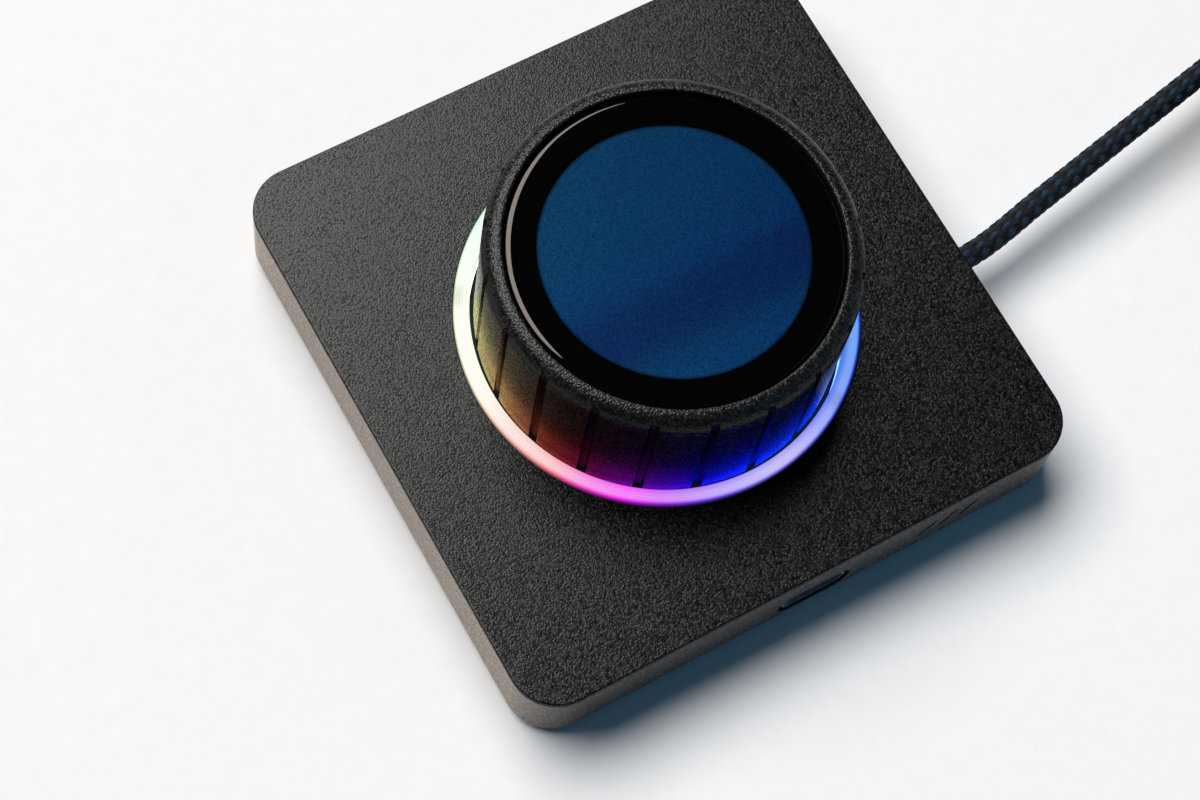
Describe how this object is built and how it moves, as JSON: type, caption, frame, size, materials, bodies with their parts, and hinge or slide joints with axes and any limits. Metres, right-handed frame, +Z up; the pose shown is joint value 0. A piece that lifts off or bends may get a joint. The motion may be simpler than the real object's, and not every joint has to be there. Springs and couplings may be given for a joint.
{
  "type": "haptic knob controller",
  "caption": "Square desk base with a glowing ring round a large grooved dial that turns about a fixed round screen, with a braided USB lead.",
  "frame": {"origin": "on the table, under the dial's axis", "axes": "+Z up along the dial's axis, -Y towards the port, +X towards the lead"},
  "size_m": [0.1708, 0.0925, 0.0321],
  "materials": {
    "sintered_grey": "matte",
    "dial_black": "matte",
    "cover_black": "matte",
    "rubber": "matte",
    "black_steel": "satin",
    "steel": "satin",
    "bearing_steel": "polished",
    "brass": "satin",
    "diffuser": "satin",
    "green_board": "satin",
    "black_chip": "matte",
    "led_body": "satin",
    "header_plastic": "satin",
    "blue_plastic": "satin",
    "gauge_film": "satin",
    "aluminium": "satin",
    "lamination": "satin",
    "enamelled_wire": "gloss",
    "magnet": "satin",
    "cup_plastic": "matte",
    "screen": "gloss",
    "panel": "satin",
    "border_tape": "matte",
    "cover_glass": "polished",
    "braid": "matte",
    "plug_plastic": "matte",
    "tie_fabric": "matte"
  },
  "bodies": {
    "base": {"base_shell": "sintered_grey", "top_plate": "sintered_grey", "bottom_cover": "cover_black", "rubber_feet": "rubber", "cover_screws": "black_steel", "threaded_inserts": "brass", "light_ring": "diffuser", "led_board": "green_board", "ring_leds": "led_body", "led_screws": "steel", "main_board": "green_board", "board_screws": "steel", "controller_chip": "black_chip", "motor_driver_chip": "black_chip", "radio_can": "steel", "cable_header": "header_plastic", "usb_socket_shell": "steel", "usb_socket_tongue": "blue_plastic", "press_flexure": "steel", "strain_gauges": "gauge_film", "flexure_screws": "steel", "cable_bush": "rubber", "cable": "braid", "cable_coil": "braid", "cable_tie": "tie_fabric", "plug_body": "plug_plastic", "plug_shell": "steel"},
    "head": {"motor_base": "aluminium", "motor_screws": "steel", "stator_core": "lamination", "windings": "enamelled_wire", "bearing_outer_rings": "bearing_steel", "bearing_balls": "bearing_steel", "encoder_board": "green_board", "encoder_chip": "black_chip", "centre_post": "aluminium", "display_cup": "cup_plastic", "display_board": "green_board", "display_panel": "panel", "polariser": "screen", "lens_gasket": "border_tape", "lens": "cover_glass", "display_flex": "gauge_film"},
    "knob": {"knob_shell": "dial_black", "knob_hub": "aluminium", "hub_screws": "steel", "knob_screws": "steel", "rotor_bell": "black_steel", "rotor_magnets": "magnet", "hollow_shaft": "aluminium", "bearing_inner_rings": "bearing_steel", "encoder_magnet": "magnet"}
  },
  "joints": [
    {"name": "head_press", "type": "slide", "parent": "base", "child": "head", "axis": [0, 0, -1], "range_m": [0, 0.0004], "stiffness_N_per_m": 15000, "springref_m": -0.0003, "deforming": ["press_flexure"]},
    {"name": "knob_spin", "type": "hinge", "parent": "head", "child": "knob", "pos_m": [0, 0, 0.0226], "axis": [0, 0, 1], "continuous": true}
  ]
}
